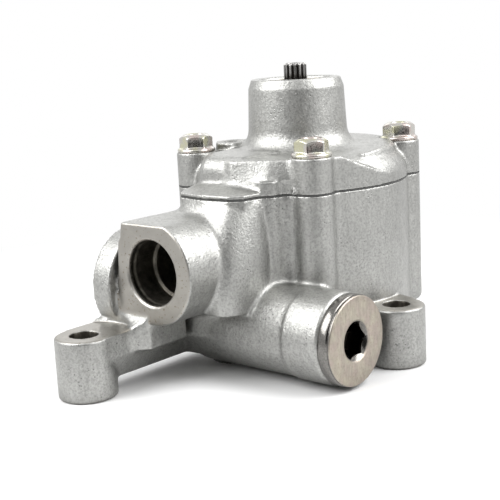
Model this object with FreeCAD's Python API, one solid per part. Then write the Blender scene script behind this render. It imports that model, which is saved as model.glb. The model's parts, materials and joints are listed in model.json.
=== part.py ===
import FreeCAD, Part
import math
import os

os.makedirs("parts", exist_ok=True)
V = FreeCAD.Vector
X_AXIS = V(1, 0, 0)
Y_AXIS = V(0, 1, 0)
Z_AXIS = V(0, 0, 1)

# Levels along the shaft axis. Zero is the plane of the mounting feet.
foot_top_z = 24.0
drum_bottom_z = 15.0
drum_pocket_z = 27.0
cavity_floor_z = 33.0
joint_z = 70.3
gasket_thickness = 0.5
seat_z = 84.6
nose_base_z = 91.5
nose_edge_z = 109.0
nose_top_z = 112.8
shaft_tip_z = nose_top_z + 6.2
cover_base_z = joint_z + gasket_thickness

# Plan of the housing and the cover at their joint.
body_radius = 45.0
bolt_offset = 30.4
bolt_boss_radius = 8.3
outline_blend = 5.0
half_column = (18.4, -42.2)
half_column_radius = 4.2
chimney_points = [(-19.0, -34.0), (-19.0, -51.0), (-14.0, -58.0), (-1.4, -60.4),
                  (11.7, -59.2), (16.8, -55.5), (18.3, -47.5), (18.3, -34.0)]

# Cover shape.
plateau_z = seat_z - 0.9
flange_height = 1.5
lip_foot = [(-18.6, -44.0), (-18.2, -50.6), (-13.8, -57.2), (-1.4, -59.6),
            (11.2, -58.4), (16.0, -55.0), (17.6, -47.5), (15.0, -43.0)]
lip_top = [(-15.6, -41.0), (-15.2, -44.0), (-12.0, -47.6), (-1.4, -48.9),
           (3.6, -48.8), (4.9, -48.2), (6.0, -46.0), (6.0, -41.0)]
lip_height = 4.0
recess_height = 5.5
recess_left_x = 18.4
recess_right_x = 27.4
dome_points = [(-23.0, -19.0), (-21.5, -38.0), (-12.0, -48.4), (-2.0, -48.6), (6.4, -46.6), (9.4, -19.0)]
dome_z = seat_z + 0.6
dome_corner_radius = 6.0
dome_edge_radius = 6.5
dome_right_radius = 1.0
rear_plateau_z = seat_z + 1.3
rear_plateau_radius = 40.5
rear_ramp = (-8.0, 14.0)
cover_edge_radius = 11.2
brow_z = seat_z - 0.6
brow_low = [(-9.0, -46.4), (5.0, -50.2), (20.4, -47.0), (30.0, -37.4), (30.0, -28.0), (-9.0, -28.0)]
brow_high = [(-5.0, -45.6), (4.4, -48.0), (18.0, -41.6), (26.0, -37.0), (26.0, -28.0), (-5.0, -28.0)]
crest = [(-60.0, 0.0), (-22.4, 0.0), (-8.2, -6.3), (12.5, -12.2)]
blind_boss_place = (-24.6, -12.9)
blind_boss_radius = 8.5

# Cartridge of the pump.
cartridge_radius = 35.0
cavity_radius = cartridge_radius + 0.3
chamber_radius = cartridge_radius - 5.0
chamber_top_z = 36.5
rear_plate_height = 10.0
cam_height = 18.0
rotor_radius = 19.6
cam_minor_radius = 20.0
cam_lift = 3.4
side_clearance = 0.04
vane_count = 10
vane_thickness = 1.5
vane_clearance = 0.03
vane_length = 7.6
slot_root_radius = 11.7
rear_plate_top_z = chamber_top_z + rear_plate_height
cam_top_z = rear_plate_top_z + cam_height
front_plate_height = joint_z - cam_top_z
dowel_radius = 2.0
dowel_circle = cartridge_radius - 4.5
dowel_angle = 90.0

# Shaft and its bearings.
journal_radius = 7.0
shaft_clearance = 0.03
bush_wall = 1.5
shaft_foot_z = 12.0
rear_bush_z = 15.0
rear_bush_length = 16.0
front_bush_z = 73.0
spline_radius = 4.8
spline_teeth = 14
spline_depth = 0.7
spline_foot_z = nose_top_z - 11.3
hub_spline_radius = 7.9
hub_spline_teeth = 16
hub_spline_depth = 0.9
hub_clearance = 0.04
ring_thickness = 1.2

# Shaft seal in the nose.
seal_bore_radius = 14.0
seal_floor_z = nose_top_z - 13.8
front_bush_length = seal_floor_z - 8.0 - front_bush_z
seal_height = 7.0
nose_mouth_radius = 15.2
nose_radius = 20.7
nose_edge_radius = 19.9
nose_top_radius = 18.5

# Cover bolts.
bolt_radius = 4.0
bolt_hole_radius = 4.5
bolt_length = 35.0
bolt_across_flats = 12.0
bolt_head_height = 7.6
bolt_flange_radius = 7.85
bolt_flange_height = 1.6

# Inlet port, facing the front of the frame.
inlet_x = -5.7
inlet_z = 45.7
inlet_face_y = -85.0
inlet_radius = 20.3
inlet_flat_top = 18.6
inlet_left_top = 15.1
inlet_left_low = 19.7
inlet_bore_radius = 12.6
inlet_inner_radius = 11.2
inlet_step_y = -71.0
inlet_end_y = -43.0
skirt_left_x = inlet_x - inlet_left_low
skirt_right_x = -8.5
skirt_radius = 5.0

# Suction well behind the inlet.
well_x = -1.5
well_y = -48.8
well_radius = 6.2
well_half_width = 6.0

# Outlet port, facing the left of the frame.
outlet_y = -66.7
outlet_z = 37.0
outlet_face_x = -35.0
outlet_rim_x = -25.6
outlet_radius = 22.2
outlet_neck_radius = 17.0
outlet_bore_radius = 9.5
outlet_bore_depth = 13.0

# Flow control valve in the cross tube.
valve_y = -43.8
valve_z = 18.7
tube_radius = 17.3
tube_start_x = -18.0
collar_x = 36.6
collar_radius = 17.9
collar_end_x = 53.2
spool_radius = 8.5
spool_clearance = 0.02
spool_rest_x = -8.0
spool_length = 34.0
spring_radius = 5.4
spring_wire_radius = 0.9
spring_turns = 6
spring_pocket_depth = 12.0
spool_waist_start = 9.0
spool_waist_length = 8.0
spool_waist_depth = 2.4
spool_stop_radius = 4.0
spring_seat_gap = 0.05
plug_shank_length = 7.2
plug_thread_x = collar_end_x - plug_shank_length - 3.0
plug_thread_radius = 13.5
plug_flange_radius = 17.5
plug_face_x = 58.5
plug_face_radius = 16.9
plug_socket_flats = 12.0
plug_socket_depth = 9.0

# Mounting feet.
web_foot_z = 27.5
hub_radius = 18.0
hub_bottom_z = 0.0
rib_foot_z = 9.0
rib_thickness = 3.6
rib_count = 6
foot_radius = 11.4
foot_hole_radius = 5.5
left_foot = (-24.6, -103.9)
right_foot = (52.3, -7.9)
rear_foot = (-26.0, 46.0)
arm_right_x = -13.4
arm_left_x = -35.8
arm_bottom_z = 5.6
arm_band_z = 15.5
arm_flank_inset = 5.0
pad_place = (-8.8, -37.0)
pad_radius = 9.6
spot_face_radius = 18.4
arm_top_z = foot_top_z + 1.2


def cylinder(radius, start, length, axis=Z_AXIS):
    return Part.makeCylinder(radius, length, V(*start), axis)


def tube(outer, inner, start, length, axis=Z_AXIS):
    return cylinder(outer, start, length, axis).cut(cylinder(inner, start, length, axis))


def cone(radius_a, radius_b, start, length, axis=Z_AXIS):
    return Part.makeCone(radius_a, radius_b, length, V(*start), axis)


def box(x_range, y_range, z_range):
    size = [r[1] - r[0] for r in (x_range, y_range, z_range)]
    return Part.makeBox(size[0], size[1], size[2], V(x_range[0], y_range[0], z_range[0]))


def prism(points, z_low, z_high):
    corners = [V(x, y, z_low) for x, y in points]
    face = Part.Face(Part.makePolygon(corners + corners[:1]))
    return face.extrude(V(0, 0, z_high - z_low))


def hexagon(across_flats, start, length, axis=Z_AXIS, turn=0.0):
    reach = across_flats / math.sqrt(3.0)
    corners = [V(reach * math.cos(math.radians(turn + 60 * i)),
                 reach * math.sin(math.radians(turn + 60 * i)), 0)
               for i in range(7)]
    solid = Part.Face(Part.makePolygon(corners)).extrude(V(0, 0, length))
    solid.Placement = FreeCAD.Placement(V(*start), FreeCAD.Rotation(Z_AXIS, axis))
    return solid


def joined(solids):
    whole = solids[0]
    for solid in solids[1:]:
        whole = whole.fuse(solid)
    return whole.removeSplitter()


def without(solid, tools):
    for tool in tools:
        solid = solid.cut(tool)
    return solid


def base_face(solid, z):
    faces = [f for f in solid.Faces if abs(f.BoundBox.ZMin - z) < 1e-6 and abs(f.BoundBox.ZMax - z) < 1e-6]
    return max(faces, key=lambda f: f.Area)


def rounded_edges(solid, radius, wanted):
    edges = [e for e in solid.Edges if wanted(e)]
    return solid.makeFillet(radius, edges)


def flat_at(z):
    return lambda edge: abs(edge.BoundBox.ZMin - z) < 1e-6 and abs(edge.BoundBox.ZMax - z) < 1e-6


def bolt_places():
    return [(sx * bolt_offset, sy * bolt_offset) for sx in (-1, 1) for sy in (-1, 1)]


def joint_outline(z, with_chimney=True):
    """Plan of the joint: round body, four bolt bosses and the suction chimney, hollows blended."""
    pieces = [cylinder(body_radius, (0, 0, z), 1.0)]
    pieces += [cylinder(bolt_boss_radius, (x, y, z), 1.0) for x, y in bolt_places()]
    if with_chimney:
        pieces.append(prism(chimney_points, z, z + 1.0))
        pieces.append(cylinder(half_column_radius, (half_column[0], half_column[1], z), 1.0))
    face = base_face(joined(pieces), z)
    blended = face.makeOffset2D(outline_blend).makeOffset2D(-outline_blend)
    return blended


def dowel_places():
    angles = [math.radians(dowel_angle), math.radians(dowel_angle + 180.0)]
    return [(dowel_circle * math.cos(a), dowel_circle * math.sin(a)) for a in angles]


def drum():
    """Round body with its bolt columns, hollow below its floor, and the chimney behind the inlet."""
    body = joint_outline(drum_bottom_z, False).extrude(V(0, 0, joint_z - drum_bottom_z))
    body = rounded_edges(body, 3.0, flat_at(drum_bottom_z))
    pocket = tube(body_radius - 6.0, hub_radius - 2.0, (0, 0, drum_bottom_z - 1),
                  drum_pocket_z - drum_bottom_z + 1)
    ribs = [rib(i * 360.0 / rib_count + 12.0) for i in range(rib_count)]
    hub = cylinder(hub_radius, (0, 0, hub_bottom_z), cavity_floor_z - hub_bottom_z)
    body = joined([body.cut(pocket), hub] + ribs)
    front = joint_outline(valve_z, True).extrude(V(0, 0, joint_z - valve_z))
    front = front.common(box((-21.0, 40.0), (-70.0, -36.0), (valve_z, joint_z)))
    return joined([body, front, chimney()])


def rib(angle):
    """Stiffening rib in the hollow below the drum, from the central hub to the wall."""
    inner = hub_radius - 4.0
    reach = body_radius - 4.0
    high = drum_pocket_z + 1.0
    side = -rib_thickness / 2
    profile = [V(inner, side, high), V(inner, side, rib_foot_z), V(hub_radius, side, rib_foot_z),
               V(reach, side, drum_bottom_z + 2.0), V(reach, side, high)]
    plate = Part.Face(Part.makePolygon(profile + profile[:1])).extrude(V(0, rib_thickness, 0))
    plate.rotate(V(0, 0, 0), Z_AXIS, angle)
    return plate


def curved_plan(points, z):
    """Closed plan with a smooth front through the points and a straight back."""
    front = Part.BSplineCurve()
    front.interpolate([V(x, y, z) for x, y in points])
    back = Part.makeLine(V(points[-1][0], points[-1][1], z), V(points[0][0], points[0][1], z))
    return Part.Wire([front.toShape(), back])


def chimney():
    """Front of the suction channel: leans out from the joint to the wall that carries the inlet."""
    high = [(-18.6, -44.0), (-15.5, -56.0), (-1.4, -60.3), (13.0, -58.2), (18.2, -50.5), (18.4, -44.0)]
    middle = [(-18.6, -44.0), (-16.5, -60.0), (-1.4, -65.6), (14.6, -65.4), (19.0, -58.0), (19.6, -44.0)]
    low = [(-18.6, -44.0), (-16.5, -61.0), (-1.4, -67.4), (15.6, -67.4), (19.4, -59.0), (19.9, -44.0)]
    levels = [curved_plan(low, web_foot_z), curved_plan(middle, inlet_z + 9.0),
              curved_plan(high, joint_z - 1.6)]
    return Part.makeLoft(levels, True, False)


def port_section(y, length):
    """Round boss with a flat top and a sloping flat left side, along the inlet axis."""
    top = inlet_z + inlet_flat_top
    boss = cylinder(inlet_radius, (inlet_x, y, inlet_z), length, Y_AXIS)
    left = [V(inlet_x, y, top), V(inlet_x - inlet_left_top, y, top),
            V(inlet_x - inlet_left_low, y, inlet_z - 14.0), V(inlet_x, y, inlet_z - 14.0)]
    shoulder = Part.Face(Part.makePolygon(left + left[:1])).extrude(V(0, length, 0))
    trim = box((inlet_x - 30, inlet_x + 30), (y, y + length), (top, top + 10))
    slope = [V(inlet_x - inlet_left_top - 0.83, y, top + 5),
             V(inlet_x - inlet_left_low - 1.06, y, inlet_z - 21.0),
             V(inlet_x - 40, y, inlet_z - 21.0), V(inlet_x - 40, y, top + 5)]
    side = Part.Face(Part.makePolygon(slope + slope[:1])).extrude(V(0, length, 0))
    return joined([boss, shoulder]).cut(trim).cut(side)


def inlet_boss():
    """Inlet boss with broken edges at its face."""
    start = inlet_face_y

    def at_face(edge):
        return abs(edge.BoundBox.YMin - start) < 1e-6 and abs(edge.BoundBox.YMax - start) < 1e-6

    return rounded_edges(port_section(start, inlet_end_y - start), 0.8, at_face)


def port_skirt():
    """Wall under the lower left of the inlet face, with a hollow fillet out to the arm."""
    low = arm_top_z
    r = skirt_radius
    x = skirt_left_x
    toe = V(x, inlet_face_y - r, low)
    top = V(x, inlet_face_y, low + r)
    bend = V(x, inlet_face_y - r * (1 - math.sqrt(0.5)), low + r * (1 - math.sqrt(0.5)))
    corners = [top, V(x, inlet_face_y, low + r + 6.0), V(x, inlet_face_y + 20.0, low + r + 6.0),
               V(x, inlet_face_y + 20.0, arm_band_z), V(x, inlet_face_y - r, arm_band_z), toe]
    edges = [Part.makeLine(a, b) for a, b in zip(corners, corners[1:])] + [Part.Arc(toe, bend, top).toShape()]
    block = Part.Face(Part.Wire(edges)).extrude(V(skirt_right_x - x, 0, 0))
    plan = [(x, inlet_face_y + 20.0), (x, inlet_face_y - r), (arm_right_x, inlet_face_y - r),
            (skirt_right_x, inlet_face_y), (skirt_right_x, inlet_face_y + 20.0)]
    return block.common(prism(plan, arm_band_z, low + r + 6.0)).cut(left_spot())


def left_spot():
    """Space cleared by the tool that faces the left foot."""
    return cylinder(spot_face_radius, (left_foot[0], left_foot[1], foot_top_z), 10.0)


def foot_post(place, height):
    post = cylinder(foot_radius, (place[0], place[1], 0), height)
    return rounded_edges(post, 1.2, lambda e: flat_at(0)(e) or flat_at(height)(e))


def left_arm():
    """Arm from the left foot back under the inlet: upright flanks above, hollowed flanks below."""
    end_y = -44.0
    start_y = left_foot[1]
    upper = box((arm_left_x, arm_right_x), (start_y, end_y), (arm_band_z, arm_top_z))
    low = [V(arm_left_x + arm_flank_inset, start_y, arm_bottom_z),
           V(arm_right_x - arm_flank_inset, start_y, arm_bottom_z),
           V(arm_right_x, start_y, arm_band_z), V(arm_left_x, start_y, arm_band_z)]
    lower = Part.Face(Part.makePolygon(low + low[:1])).extrude(V(0, end_y - start_y, 0))
    return joined([upper, lower]).cut(left_spot())


def housing():
    """Die cast rear body: drum, ports, valve tube and feet in one piece, with its bores."""
    solids = [drum(), inlet_boss()]
    solids.append(cylinder(outlet_radius, (outlet_face_x, outlet_y, outlet_z), outlet_rim_x - outlet_face_x,
                           X_AXIS))
    solids.append(cylinder(outlet_neck_radius, (outlet_rim_x, outlet_y, outlet_z), 12.0, X_AXIS))
    cross = cylinder(tube_radius, (tube_start_x, valve_y, valve_z), collar_x - tube_start_x, X_AXIS)
    solids.append(rounded_edges(cross, 8.0, lambda e: e.BoundBox.XMax < tube_start_x + 0.1))
    solids.append(cylinder(collar_radius, (collar_x, valve_y, valve_z), collar_end_x - collar_x, X_AXIS))
    solids.append(foot_post(left_foot, foot_top_z))
    solids.append(left_arm())
    solids.append(port_skirt())
    solids.append(foot_post(right_foot, foot_top_z))
    solids.append(foot_post(rear_foot, foot_top_z))
    solids.append(pad_to_body(right_foot))
    solids.append(pad_to_body(rear_foot))
    solids.append(under_web())
    solids.append(cylinder(pad_radius, (pad_place[0], pad_place[1], 0), valve_z))
    body = joined(solids)
    return without(body, housing_bores())


def under_web():
    """Web that ties the inlet boss and the arm into the cross tube, drawn in below the parting line."""
    upper = [(-13.6, -63.0), (2.0, -60.6), (12.0, -58.0), (18.0, -50.0),
             (18.0, -30.0), (-28.0, -30.0), (-28.0, -45.0)]
    lower = [(-18.0, -56.0), (-2.0, -54.0), (8.0, -50.0), (14.0, -44.0),
             (14.0, -30.0), (-24.0, -30.0), (-24.0, -45.0)]
    high = Part.makePolygon([V(x, y, arm_band_z) for x, y in upper + upper[:1]])
    low = Part.makePolygon([V(x, y, arm_bottom_z) for x, y in lower + lower[:1]])
    return joined([prism(upper, arm_band_z, inlet_z - 8.0), Part.makeLoft([low, high], True, True)])


def pad_to_body(place):
    """Pad that carries a foot post into the wall of the drum."""
    reach = math.hypot(*place)
    direction = (place[0] / reach, place[1] / reach)
    side = (-direction[1], direction[0])
    inner = 36.0
    corners = []
    for along, across in ((inner, -14.5), (reach, -foot_radius), (reach, foot_radius), (inner, 14.5)):
        corners.append((direction[0] * along + side[0] * across, direction[1] * along + side[1] * across))
    return prism(corners, arm_bottom_z, foot_top_z)


def housing_bores():
    """Everything that is machined or cored out of the housing."""
    top = 1.0
    cuts = [cylinder(cavity_radius, (0, 0, chamber_top_z), joint_z - chamber_top_z + top)]
    cuts.append(cylinder(chamber_radius, (0, 0, cavity_floor_z), 10.0))
    cuts.append(cylinder(journal_radius + bush_wall, (0, 0, shaft_foot_z - 2.0), 40.0))
    cuts.append(cylinder(inlet_bore_radius, (inlet_x, inlet_face_y - 1, inlet_z),
                         inlet_step_y - inlet_face_y + 1, Y_AXIS))
    cuts.append(cone(inlet_bore_radius + 0.8, inlet_bore_radius, (inlet_x, inlet_face_y, inlet_z), 0.8,
                     Y_AXIS))
    cuts.append(cylinder(inlet_inner_radius, (inlet_x, inlet_step_y - 1, inlet_z), 21.5, Y_AXIS))
    cuts.append(cylinder(inlet_bore_radius + 0.6, (inlet_x, inlet_face_y + 2.6, inlet_z), 1.6, Y_AXIS))
    cuts.append(suction_well(inlet_z, joint_z - inlet_z + top))
    cuts.append(cylinder(spool_radius, (spool_rest_x - 2.0, valve_y, valve_z), 80.0, X_AXIS))
    cuts.append(cylinder(plug_thread_radius, (plug_thread_x, valve_y, valve_z), 40.0, X_AXIS))
    cuts.append(cone(plug_thread_radius, plug_thread_radius + 2.0, (collar_end_x - 2.0, valve_y, valve_z),
                     2.0, X_AXIS))
    cuts.append(collar_chamfer())
    cuts.append(cylinder(outlet_bore_radius, (outlet_face_x - 1, outlet_y, outlet_z), outlet_bore_depth + 1,
                         X_AXIS))
    cuts.append(cone(outlet_bore_radius + 1.5, outlet_bore_radius, (outlet_face_x, outlet_y, outlet_z), 1.5,
                     X_AXIS))
    cuts.append(passage((outlet_face_x + outlet_bore_depth - 1.5, outlet_y, outlet_z),
                        (-2.0, valve_y, valve_z + 4.0), 4.5))
    cuts.append(passage((6.0, -24.0, cavity_floor_z + 1.0), (10.0, valve_y, valve_z), 4.0))
    cuts.append(passage((14.0, valve_y, valve_z), (well_x + 4.0, valve_y - 2.0, inlet_z - 8.0), 4.0))
    for x, y in bolt_places():
        cuts.append(cylinder(bolt_radius, (x, y, seat_z - bolt_length - 4.0), 60.0))
    for x, y in dowel_places():
        cuts.append(cylinder(dowel_radius, (x, y, cavity_floor_z - 3.0), 8.0))
    for place in (left_foot, right_foot, rear_foot):
        cuts.append(cylinder(foot_hole_radius, (place[0], place[1], -1.0), foot_top_z + 10.0))
    return cuts


def collar_chamfer():
    ring = tube(collar_radius + 3.0, collar_radius - 1.2, (collar_end_x - 1.2, valve_y, valve_z), 2.0, X_AXIS)
    keep = cone(collar_radius, collar_radius - 1.2, (collar_end_x - 1.2, valve_y, valve_z), 1.2, X_AXIS)
    return ring.cut(keep)


def passage(start, end, radius):
    direction = V(*end) - V(*start)
    return Part.makeCylinder(radius, direction.Length, V(*start), direction)


def suction_well(z, height):
    """Oval well that carries the oil from the inlet up to the cover."""
    half = well_half_width
    ends = [cylinder(well_radius, (well_x + s * half, well_y, z), height) for s in (-1, 1)]
    middle = box((well_x - half, well_x + half), (well_y - well_radius, well_y + well_radius),
                 (z, z + height))
    return joined(ends + [middle])


def nose():
    """Nose of the cover: sweep up from the plateau, drafted collar and the chamfer at its mouth."""
    low = plateau_z - 6.0
    start = V(nose_radius + 9.0, 0, plateau_z)
    edges = [Part.makeLine(V(0, 0, low), V(nose_radius + 9.0, 0, low)),
             Part.makeLine(V(nose_radius + 9.0, 0, low), start)]
    sweep_mid = V(nose_radius + 2.5, 0, plateau_z + 2.6)
    sweep_end = V(nose_radius, 0, nose_base_z)
    edges.append(Part.Arc(start, sweep_mid, sweep_end).toShape())
    edge = V(nose_edge_radius, 0, nose_edge_z)
    rim = V(nose_top_radius, 0, nose_top_z)
    centre = V(0, 0, nose_top_z)
    edges += [Part.makeLine(sweep_end, edge), Part.makeLine(edge, rim), Part.makeLine(rim, centre)]
    edges.append(Part.makeLine(centre, V(0, 0, low)))
    solid = Part.Face(Part.Wire(edges)).revolve(V(0, 0, 0), Z_AXIS, 360)
    return rounded_edges(solid, 0.5, lambda e: flat_at(nose_top_z)(e) or flat_at(nose_edge_z)(e))


def brow():
    """Tall front of the cover, from the dome past the front bolt, its crest running down to the right."""
    wall = joint_outline(cover_base_z, False).extrude(V(0, 0, brow_z - cover_base_z))
    ridge = [V(22.0, y, brow_z + drop) for y, drop in crest]
    profile = [Part.makeLine(ridge[0], ridge[1]), Part.Arc(ridge[1], ridge[2], ridge[3]).toShape()]
    corners = [ridge[3], V(22.0, ridge[3].y, cover_base_z), V(22.0, ridge[0].y, cover_base_z), ridge[0]]
    profile += [Part.makeLine(a, b) for a, b in zip(corners, corners[1:])]
    wall = wall.common(Part.Face(Part.Wire(profile)).extrude(V(26.0, 0, 0)))
    low = Part.makePolygon([V(x, y, cover_base_z) for x, y in brow_low + brow_low[:1]])
    high = Part.makePolygon([V(x, y, brow_z) for x, y in brow_high + brow_high[:1]])
    return joined([wall, Part.makeLoft([low, high], True, True)])


def dome():
    """Soft dome over the suction well, left of the brow."""
    solid = prism(dome_points, cover_base_z, dome_z)
    height = dome_z - cover_base_z

    def front_corner(edge):
        middle = edge.CenterOfMass
        return abs(edge.BoundBox.ZLength - height) < 1e-3 and middle.y < -36.0 and middle.x < -5.0

    def front_rim(edge):
        middle = edge.CenterOfMass
        return flat_at(dome_z)(edge) and middle.y < -20.0 and middle.x < 5.0

    solid = rounded_edges(solid, dome_corner_radius, front_corner)
    solid = rounded_edges(solid, dome_edge_radius, front_rim)
    return rounded_edges(solid, dome_right_radius, lambda e: flat_at(dome_z)(e) and e.CenterOfMass.x > 5.0)


def rear_plateau():
    """Back of the cover, a little higher, with a ramp up to it on both sides of the nose."""
    rim = 4.0
    disc = cylinder(rear_plateau_radius, (0, 0, cover_base_z), rear_plateau_z - cover_base_z)
    disc = rounded_edges(disc, rim, flat_at(rear_plateau_z))
    reach = body_radius + 1.0
    low = plateau_z - 0.2
    outline = [V(-reach, rear_ramp[0], low), V(-reach, rear_ramp[1], rear_plateau_z),
               V(-reach, reach, rear_plateau_z),
               V(-reach, reach, cover_base_z), V(-reach, rear_ramp[0], cover_base_z)]
    half = Part.Face(Part.makePolygon(outline + outline[:1])).extrude(V(2 * reach, 0, 0))
    return disc.common(half)


def cover_shell():
    """Body of the cover below the nose: domed disc, brow, suction dome, sloping lip and pry recess."""
    r = cover_edge_radius
    flat = V(body_radius - r, 0, plateau_z)
    rim = V(body_radius, 0, plateau_z - r)
    bend = V(body_radius - r * (1 - math.sqrt(0.5)), 0, plateau_z - r * (1 - math.sqrt(0.5)))
    edges = [Part.makeLine(V(0, 0, plateau_z), flat), Part.Arc(flat, bend, rim).toShape()]
    corners = [rim, V(body_radius, 0, cover_base_z), V(0, 0, cover_base_z), V(0, 0, plateau_z)]
    edges += [Part.makeLine(a, b) for a, b in zip(corners, corners[1:])]
    disc = Part.Face(Part.Wire(edges)).revolve(V(0, 0, 0), Z_AXIS, 360)
    recess_z = (cover_base_z - 1, cover_base_z + recess_height)
    recess = box((recess_left_x, recess_right_x), (-60.0, -30.0), recess_z)
    shell = joined([disc, rear_plateau(), dome(), brow()]).cut(recess)
    flange = joint_outline(cover_base_z, True).extrude(V(0, 0, flange_height))
    column = joint_outline(cover_base_z, True).extrude(V(0, 0, recess_height))
    column = column.common(box((12.0, 33.0), (-60.0, -30.0), (cover_base_z, cover_base_z + recess_height)))
    column = column.cut(box((11.0, recess_left_x - 0.05), (-70.0, -46.5),
                            (cover_base_z - 1, cover_base_z + 20.0)))
    foot = Part.makePolygon([V(x, y, cover_base_z + flange_height) for x, y in lip_foot + lip_foot[:1]])
    top = Part.makePolygon([V(x, y, cover_base_z + lip_height) for x, y in lip_top + lip_top[:1]])
    lip = Part.makeLoft([foot, top], True, True)
    return joined([shell, flange, column, lip])


def blind_boss():
    """Low faceted boss beside the nose, dished on top."""
    x, y = blind_boss_place
    height = 3.4
    boss = hexagon(blind_boss_radius * 1.84, (x, y, plateau_z - 3.0), 3.0 + height, Z_AXIS, 12.0)
    boss = boss.common(cylinder(blind_boss_radius, (x, y, plateau_z - 3.0), 3.0 + height))
    boss = rounded_edges(boss, 0.6, flat_at(plateau_z + height))
    return boss.cut(cylinder(4.8, (x, y, plateau_z + height - 1.4), 4.0))


def cover():
    """Front cover: rim with four bolt bosses, suction dome and the nose for the shaft seal."""
    solids = [cover_shell(), nose(), blind_boss()]
    for x, y in bolt_places():
        post = cylinder(bolt_boss_radius, (x, y, cover_base_z), seat_z - cover_base_z)
        solids.append(rounded_edges(post, 0.8, flat_at(seat_z)))
    body = joined(solids)
    cuts = [cylinder(journal_radius + bush_wall, (0, 0, cover_base_z - 1), 60.0)]
    cuts.append(cylinder(seal_bore_radius, (0, 0, seal_floor_z), 30.0))
    cuts.append(cone(seal_bore_radius, nose_mouth_radius, (0, 0, nose_top_z - 2.0), 2.0))
    cuts.append(tube(27.0, 13.0, (0, 0, cover_base_z - 1), 6.5))
    cuts.append(box((well_x - 7.0, well_x + 7.0), (-45.0, -20.0), (cover_base_z - 1, cover_base_z + 5.5)))
    for x, y in bolt_places():
        cuts.append(cylinder(bolt_hole_radius, (x, y, cover_base_z - 1), 40.0))
        cuts.append(cylinder(bolt_boss_radius - 0.2, (x, y, seat_z), 12.0))
    return without(body, cuts)


def cover_gasket():
    sheet = joint_outline(joint_z, True).makeOffset2D(-0.3).extrude(V(0, 0, gasket_thickness))
    cuts = [cylinder(cavity_radius + 0.4, (0, 0, joint_z - 1), 4.0), suction_well(joint_z - 1, 4.0)]
    cuts += [cylinder(bolt_hole_radius, (x, y, joint_z - 1), 4.0) for x, y in bolt_places()]
    return without(sheet, cuts)


def kidney(inner, outer, start, span, z, height):
    """Curved port between two radii over a part of a turn, with square ends."""
    block = tube(outer, inner, (0, 0, z), height)
    far = outer * 2.0
    edge_a = (far * math.cos(math.radians(start)), far * math.sin(math.radians(start)))
    middle = (far * math.cos(math.radians(start + span / 2)), far * math.sin(math.radians(start + span / 2)))
    edge_b = (far * math.cos(math.radians(start + span)), far * math.sin(math.radians(start + span)))
    return block.common(prism([(0, 0), edge_a, middle, edge_b], z, z + height))


def plate(z, height, pressure_through):
    """Side plate of the cartridge with two suction and two pressure kidneys."""
    disc = cylinder(cartridge_radius, (0, 0, z), height)
    bore = cylinder(hub_spline_radius + 0.9, (0, 0, z - 1), height + 2)
    cuts = [bore]
    for start in (20.0, 200.0):
        depth = height + 2 if not pressure_through else 3.0
        low = z - 1 if not pressure_through else z + height - 2.0
        cuts.append(kidney(19.0, 24.5, start, 50.0, low, depth))
    for start in (110.0, 290.0):
        depth = height + 2 if pressure_through else 2.5
        low = z - 1 if pressure_through else z - 1.0
        cuts.append(kidney(18.0, 22.5, start, 50.0, low, depth))
    for start in (25.0, 115.0, 205.0, 295.0):
        low = z + height - 1.2 if pressure_through else z - 1.0
        cuts.append(kidney(10.8, 12.6, start, 40.0, low, 2.2))
    for x, y in dowel_places():
        cuts.append(cylinder(dowel_radius + 0.05, (x, y, z - 1), height + 2))
    return without(disc, cuts)


def pressure_plate():
    body = plate(chamber_top_z, rear_plate_height, True)
    groove = tube(cartridge_radius + 1, cartridge_radius - 2.0, (0, 0, chamber_top_z + 4.0), 2.6)
    hub = tube(13.0, hub_spline_radius + 0.9, (0, 0, cavity_floor_z + 0.5),
               chamber_top_z - cavity_floor_z - 0.5)
    return joined([body.cut(groove), hub])


def front_plate():
    return plate(cam_top_z, front_plate_height, False)


def round_ring(radius, section, centre, axis=Z_AXIS):
    """Ring of round section, drawn with eight flats."""
    corners = []
    for i in range(8):
        a = math.radians(22.5 + 45.0 * i)
        corners.append(V(radius + section * math.cos(a), 0, section * math.sin(a)))
    ring = Part.Face(Part.makePolygon(corners + corners[:1])).revolve(V(0, 0, 0), Z_AXIS, 360)
    ring.Placement = FreeCAD.Placement(V(*centre), FreeCAD.Rotation(Z_AXIS, axis))
    return ring


def cam_radius(angle):
    """Reach of the cam ring's bore at an angle: two lobes, narrow along X and wide along Y."""
    return cam_minor_radius + cam_lift * 0.5 * (1.0 - math.cos(2.0 * angle))


def cam_ring():
    outer = cylinder(cartridge_radius, (0, 0, rear_plate_top_z), cam_height)
    count = 24
    points = []
    for i in range(count):
        a = 2 * math.pi * i / count
        points.append(V(cam_radius(a) * math.cos(a), cam_radius(a) * math.sin(a), rear_plate_top_z - 1))
    curve = Part.BSplineCurve()
    curve.interpolate(points, PeriodicFlag=True)
    bore = Part.Face(Part.Wire(curve.toShape())).extrude(V(0, 0, cam_height + 2))
    cuts = [bore]
    for x, y in dowel_places():
        cuts.append(cylinder(dowel_radius + 0.05, (x, y, rear_plate_top_z - 1), cam_height + 2))
    return without(outer, cuts)


def dowels():
    low = cavity_floor_z - 3.0
    height = joint_z - 1.0 - low
    return Part.makeCompound([cylinder(dowel_radius, (x, y, low), height) for x, y in dowel_places()])


def toothed(radius, teeth, depth, z, length):
    """Splined length of a shaft: flat topped teeth with sloping flanks."""
    points = []
    step = 2 * math.pi / teeth
    for i in range(teeth):
        for part, r in ((-0.30, radius - depth), (-0.17, radius), (0.17, radius), (0.30, radius - depth)):
            a = step * (i + part)
            points.append((r * math.cos(a), r * math.sin(a)))
    return prism(points, z, z + length)


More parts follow.
